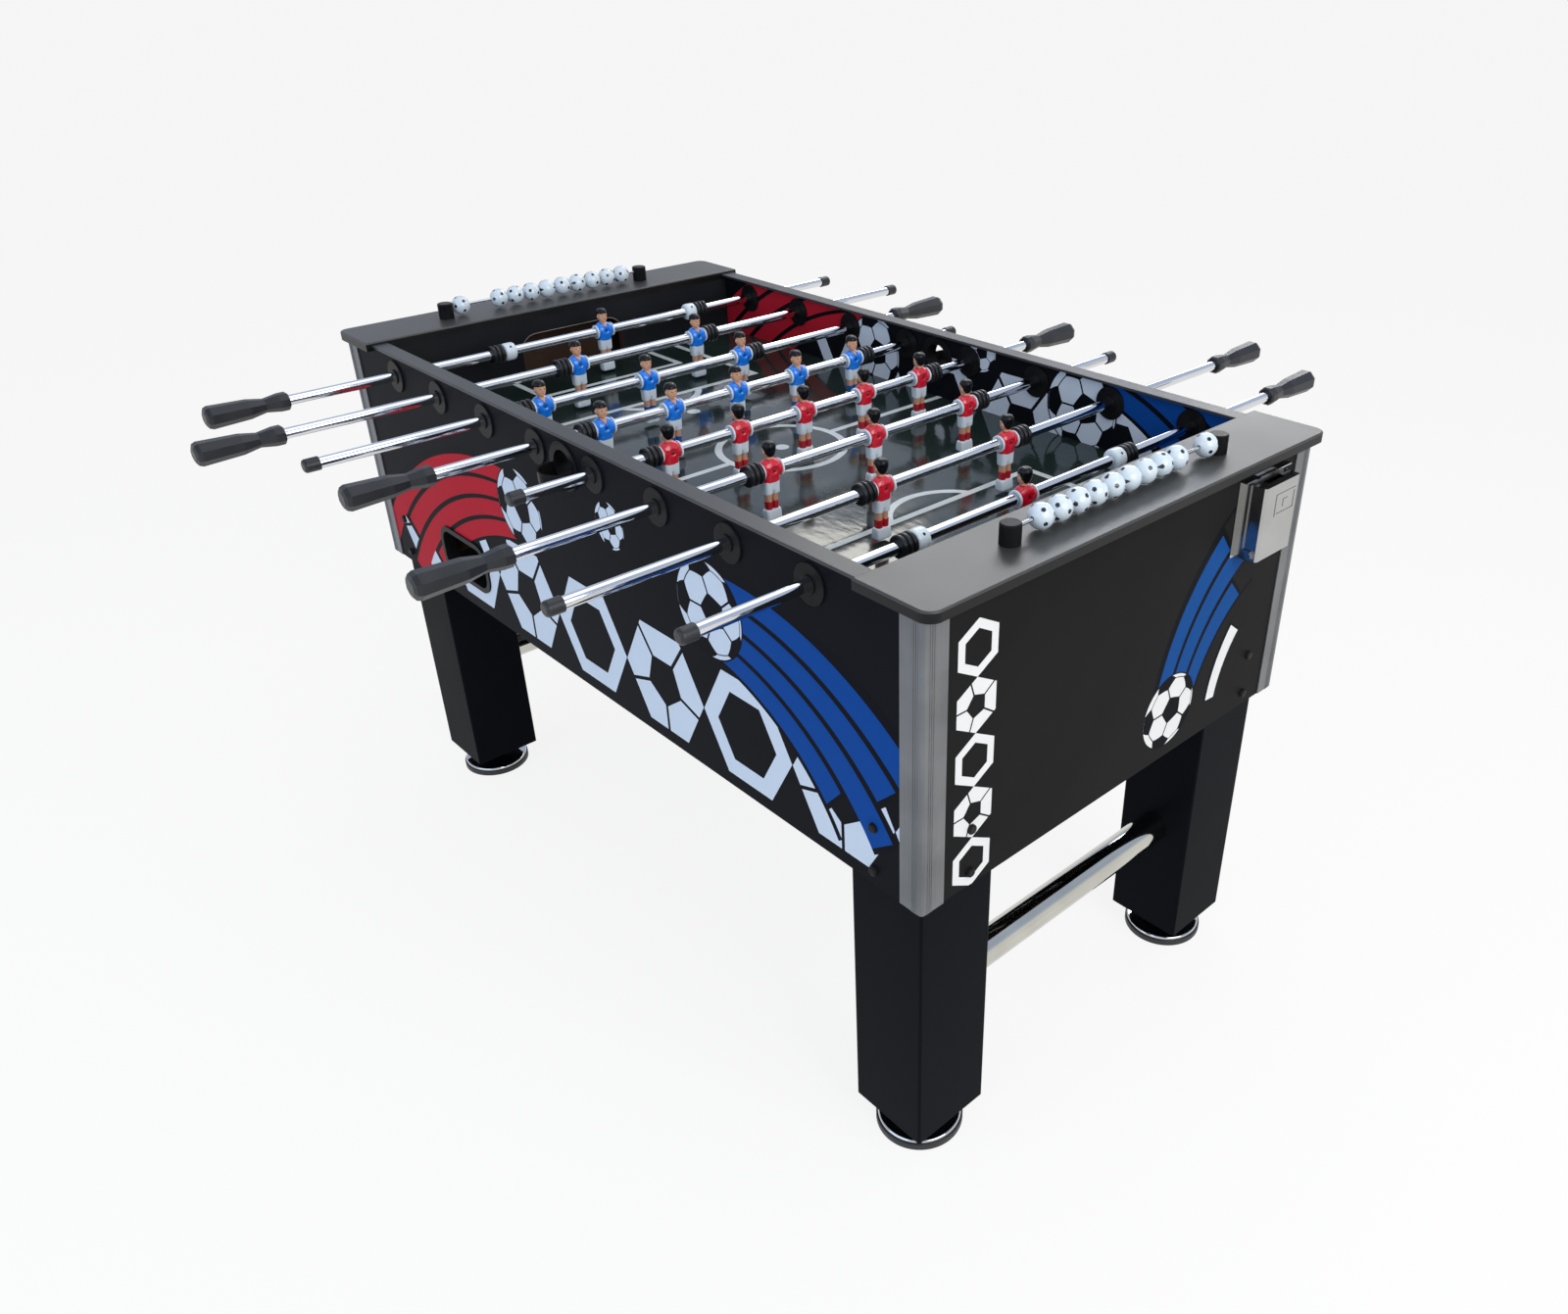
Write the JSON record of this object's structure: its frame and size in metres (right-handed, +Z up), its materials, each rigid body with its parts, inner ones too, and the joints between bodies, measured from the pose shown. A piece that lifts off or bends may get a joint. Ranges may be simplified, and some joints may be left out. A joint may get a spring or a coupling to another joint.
{
  "type": "foosball table",
  "caption": "Free-standing table football game: boxed field on four legs, sliding and spinning rods with figures, bead scorers, ball returns and levelling feet.",
  "frame": {"origin": "on the floor, under the centre of the playing field", "axes": "+Z up, X from goal to goal with the bin on the +X end, the pictured long side faces -Y"},
  "size_m": [1.4618, 1.497, 0.9236],
  "materials": {
    "panel_laminate": null,
    "goal_wall_laminate": "satin black laminate",
    "field_print": "glossy dark green field print with white lines",
    "raw_board": "unfinished fibreboard",
    "rail_laminate": "satin charcoal laminate",
    "leg_laminate": "satin black laminate",
    "black_steel": "black oxide",
    "chrome_tube": "polished chrome",
    "satin_aluminium": "satin extrusion",
    "black_plastic": "moulded, fine grain",
    "steel_wire": "drawn wire",
    "bin_steel": "polished sheet",
    "bumper_rubber": "moulded rubber",
    "blue_figures": "glossy painted plastic",
    "red_figures": "glossy painted plastic",
    "grip_plastic": "matt moulded grips and caps",
    "bead_plastic": "white beads with dark football patches",
    "foot_chrome": "chromed plate on a black rubber base"
  },
  "bodies": {
    "cabinet": {"front_side_panel": "panel_laminate", "back_side_panel": "panel_laminate", "left_end_panel": "panel_laminate", "right_end_panel": "panel_laminate", "goal_walls": "goal_wall_laminate", "playfield": "field_print", "field_bearers": "raw_board", "top_rails": "rail_laminate", "legs": "leg_laminate", "leg_bolts": "black_steel", "stretcher_tubes": "chrome_tube", "corner_guards": "satin_aluminium", "rod_bushings": "black_plastic", "serving_cups": "black_plastic", "ball_return_cups": "black_plastic", "ball_ramps": "raw_board", "scorer_posts": "black_plastic", "scorer_wires": "steel_wire", "bin_bracket": "bin_steel"},
    "rod_1_slider": {"rod_1_bumpers": "bumper_rubber"},
    "rod_1_spinner": {"rod_1_tube": "chrome_tube", "rod_1_figures": "blue_figures", "rod_1_grip": "grip_plastic"},
    "rod_2_slider": {"rod_2_bumpers": "bumper_rubber"},
    "rod_2_spinner": {"rod_2_tube": "chrome_tube", "rod_2_figures": "blue_figures", "rod_2_grip": "grip_plastic"},
    "rod_3_slider": {"rod_3_bumpers": "bumper_rubber"},
    "rod_3_spinner": {"rod_3_tube": "chrome_tube", "rod_3_figures": "blue_figures", "rod_3_grip": "grip_plastic"},
    "rod_4_slider": {"rod_4_bumpers": "bumper_rubber"},
    "rod_4_spinner": {"rod_4_tube": "chrome_tube", "rod_4_figures": "blue_figures", "rod_4_grip": "grip_plastic"},
    "rod_5_slider": {"rod_5_bumpers": "bumper_rubber"},
    "rod_5_spinner": {"rod_5_tube": "chrome_tube", "rod_5_figures": "red_figures", "rod_5_grip": "grip_plastic"},
    "rod_6_slider": {"rod_6_bumpers": "bumper_rubber"},
    "rod_6_spinner": {"rod_6_tube": "chrome_tube", "rod_6_figures": "red_figures", "rod_6_grip": "grip_plastic"},
    "rod_7_slider": {"rod_7_bumpers": "bumper_rubber"},
    "rod_7_spinner": {"rod_7_tube": "chrome_tube", "rod_7_figures": "red_figures", "rod_7_grip": "grip_plastic"},
    "rod_8_slider": {"rod_8_bumpers": "bumper_rubber"},
    "rod_8_spinner": {"rod_8_tube": "chrome_tube", "rod_8_figures": "red_figures", "rod_8_grip": "grip_plastic"},
    "left_scorer_pack": {"left_scorer_pack": "bead_plastic"},
    "left_scorer_single": {"left_scorer_single": "bead_plastic"},
    "right_scorer_pack": {"right_scorer_pack": "bead_plastic"},
    "right_scorer_single": {"right_scorer_single": "bead_plastic"},
    "left_front_foot": {"left_front_foot": "foot_chrome"},
    "left_back_foot": {"left_back_foot": "foot_chrome"},
    "right_front_foot": {"right_front_foot": "foot_chrome"},
    "right_back_foot": {"right_back_foot": "foot_chrome"},
    "tilt_bin": {"tilt_bin": "bin_steel"}
  },
  "joints": [
    {"name": "rod_1_slide", "type": "slide", "parent": "cabinet", "child": "rod_1_slider", "axis": [0, 1, 0], "range_m": [-0.14446, 0.10854]},
    {"name": "rod_1_spin", "type": "hinge", "parent": "rod_1_slider", "child": "rod_1_spinner", "pos_m": [-0.525, 0, 0.851], "axis": [0, 1, 0], "continuous": true},
    {"name": "rod_2_slide", "type": "slide", "parent": "cabinet", "child": "rod_2_slider", "axis": [0, 1, 0], "range_m": [-0.184, 0.194]},
    {"name": "rod_2_spin", "type": "hinge", "parent": "rod_2_slider", "child": "rod_2_spinner", "pos_m": [-0.375, 0, 0.851], "axis": [0, 1, 0], "continuous": true},
    {"name": "rod_3_slide", "type": "slide", "parent": "cabinet", "child": "rod_3_slider", "axis": [0, 1, 0], "range_m": [-0.03101, 0.20699]},
    {"name": "rod_3_spin", "type": "hinge", "parent": "rod_3_slider", "child": "rod_3_spinner", "pos_m": [-0.225, 0, 0.851], "axis": [0, 1, 0], "continuous": true},
    {"name": "rod_4_slide", "type": "slide", "parent": "cabinet", "child": "rod_4_slider", "axis": [0, 1, 0], "range_m": [-0.045, 0.085]},
    {"name": "rod_4_spin", "type": "hinge", "parent": "rod_4_slider", "child": "rod_4_spinner", "pos_m": [-0.075, 0, 0.851], "axis": [0, 1, 0], "continuous": true},
    {"name": "rod_5_slide", "type": "slide", "parent": "cabinet", "child": "rod_5_slider", "axis": [0, 1, 0], "range_m": [-0.05802, 0.07198]},
    {"name": "rod_5_spin", "type": "hinge", "parent": "rod_5_slider", "child": "rod_5_spinner", "pos_m": [0.075, 0, 0.851], "axis": [0, 1, 0], "continuous": true},
    {"name": "rod_6_slide", "type": "slide", "parent": "cabinet", "child": "rod_6_slider", "axis": [0, 1, 0], "range_m": [-0.11802, 0.11998]},
    {"name": "rod_6_spin", "type": "hinge", "parent": "rod_6_slider", "child": "rod_6_spinner", "pos_m": [0.225, 0, 0.851], "axis": [0, 1, 0], "continuous": true},
    {"name": "rod_7_slide", "type": "slide", "parent": "cabinet", "child": "rod_7_slider", "axis": [0, 1, 0], "range_m": [-0.184, 0.194]},
    {"name": "rod_7_spin", "type": "hinge", "parent": "rod_7_slider", "child": "rod_7_spinner", "pos_m": [0.375, 0, 0.851], "axis": [0, 1, 0], "continuous": true},
    {"name": "rod_8_slide", "type": "slide", "parent": "cabinet", "child": "rod_8_slider", "axis": [0, 1, 0], "range_m": [-0.11047, 0.14253]},
    {"name": "rod_8_spin", "type": "hinge", "parent": "rod_8_slider", "child": "rod_8_spinner", "pos_m": [0.525, 0, 0.851], "axis": [0, 1, 0], "continuous": true},
    {"name": "left_scorer_pack_slide", "type": "slide", "parent": "cabinet", "child": "left_scorer_pack", "axis": [0, 1, 0], "range_m": [-0.04204, 0.01256]},
    {"name": "left_scorer_single_slide", "type": "slide", "parent": "cabinet", "child": "left_scorer_single", "axis": [0, 1, 0], "range_m": [0, 0.04204]},
    {"name": "right_scorer_pack_slide", "type": "slide", "parent": "cabinet", "child": "right_scorer_pack", "axis": [0, 1, 0], "range_m": [-0.02239, 0.03221]},
    {"name": "right_scorer_single_slide", "type": "slide", "parent": "cabinet", "child": "right_scorer_single", "axis": [0, 1, 0], "range_m": [-0.03221, 0]},
    {"name": "left_front_foot_screw", "type": "slide", "parent": "cabinet", "child": "left_front_foot", "axis": [0, 0, -1], "range_m": [0, 0.02]},
    {"name": "left_back_foot_screw", "type": "slide", "parent": "cabinet", "child": "left_back_foot", "axis": [0, 0, -1], "range_m": [0, 0.02]},
    {"name": "right_front_foot_screw", "type": "slide", "parent": "cabinet", "child": "right_front_foot", "axis": [0, 0, -1], "range_m": [0, 0.02]},
    {"name": "right_back_foot_screw", "type": "slide", "parent": "cabinet", "child": "right_back_foot", "axis": [0, 0, -1], "range_m": [0, 0.02]},
    {"name": "bin_tilt", "type": "hinge", "parent": "cabinet", "child": "tilt_bin", "pos_m": [0.727, 0.254, 0.7595], "axis": [0, 1, 0], "range_deg": [0, 60]}
  ]
}
